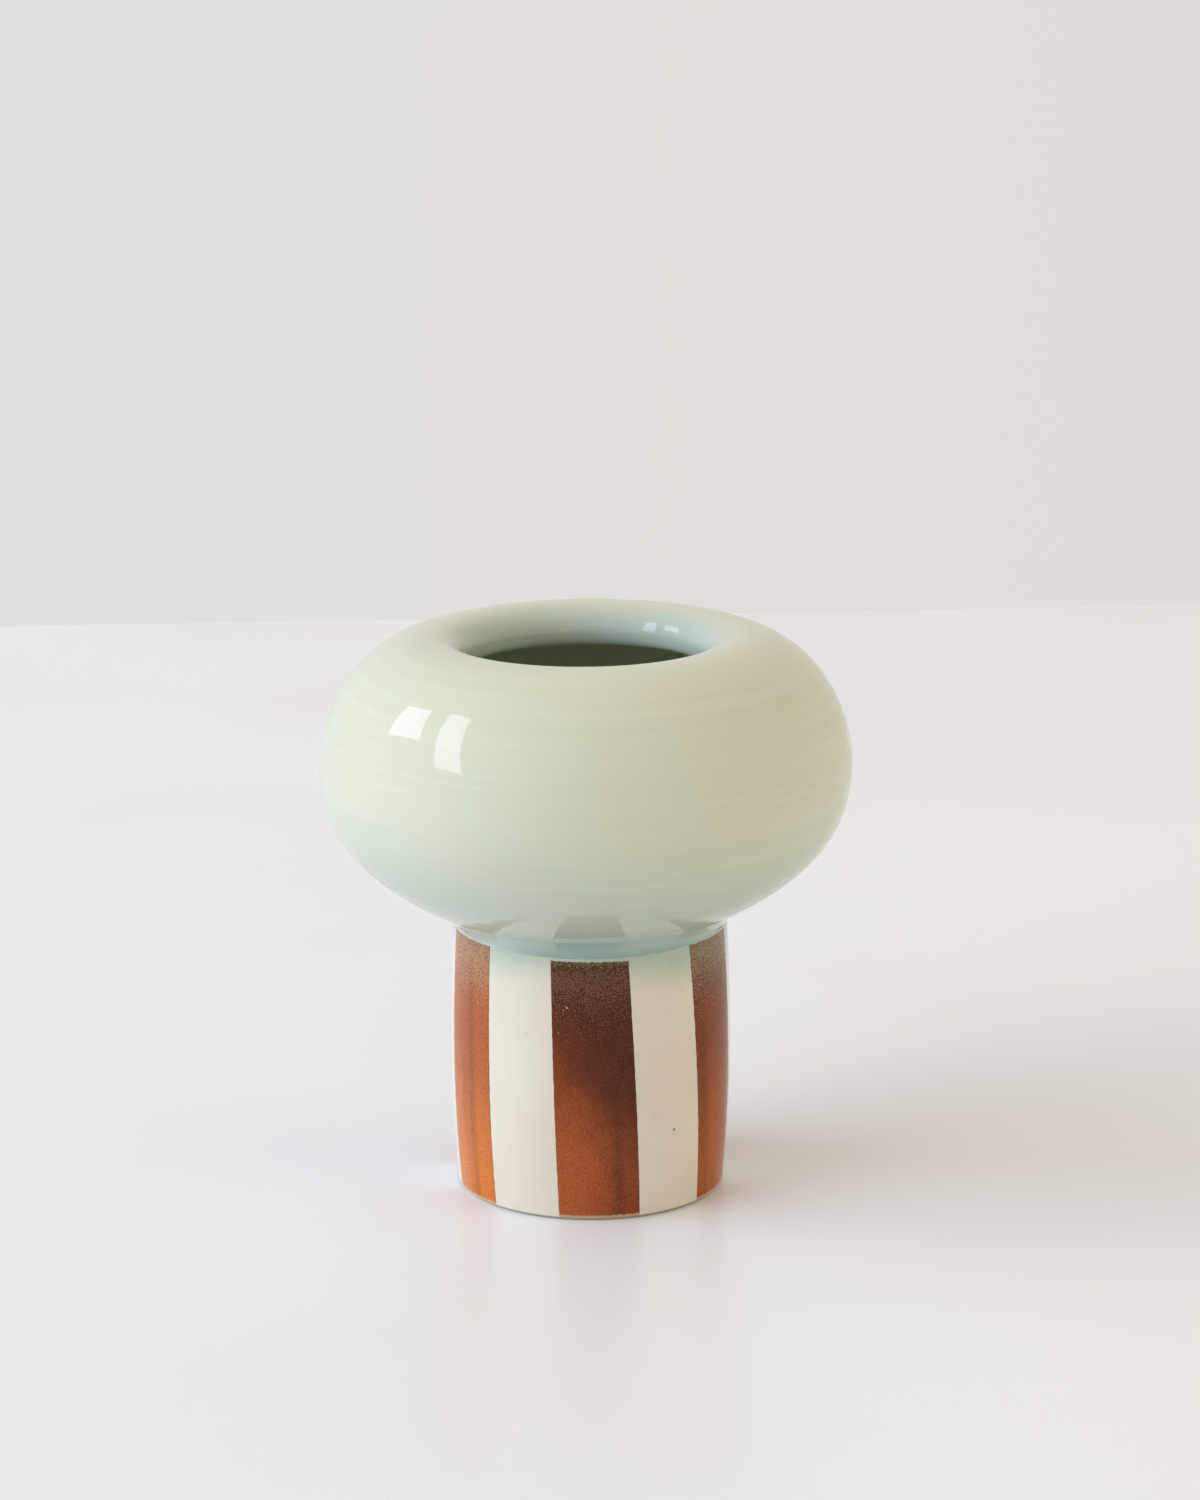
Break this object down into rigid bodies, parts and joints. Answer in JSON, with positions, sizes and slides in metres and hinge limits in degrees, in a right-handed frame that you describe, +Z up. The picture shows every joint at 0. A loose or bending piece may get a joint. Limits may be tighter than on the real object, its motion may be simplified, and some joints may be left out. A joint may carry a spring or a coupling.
{
  "type": "tea whisk holder",
  "caption": "Small hollow ceramic stand for a bamboo tea whisk: round bulb with a rolled-in mouth on a short open tube with slip bands.",
  "frame": {"origin": "on the table, under the middle of the bulb", "axes": "+Z up along the bulb's axis, -Y towards the front band, +X to the right as seen from the front"},
  "size_m": [0.062, 0.062, 0.0663],
  "materials": {
    "celadon_glazed_bulb": "glossy pale green celadon glaze over stoneware",
    "clear_glazed_cream_stoneware": "clear glossy glaze over cream stoneware, bare buff foot",
    "pooled_celadon_glaze": "thick blue-green glaze pooled over the slip in the joint",
    "glazed_brown_slip": "brushed iron-brown slip under clear glossy glaze"
  },
  "bodies": {
    "root": {"bulb_shell": "celadon_glazed_bulb", "stem_tube": "clear_glazed_cream_stoneware", "joint_collar": "pooled_celadon_glaze", "band_front": "glazed_brown_slip", "band_front_right": "glazed_brown_slip", "band_back_right": "glazed_brown_slip", "band_back": "glazed_brown_slip", "band_back_left": "glazed_brown_slip", "band_front_left": "glazed_brown_slip"}
  },
  "joints": []
}
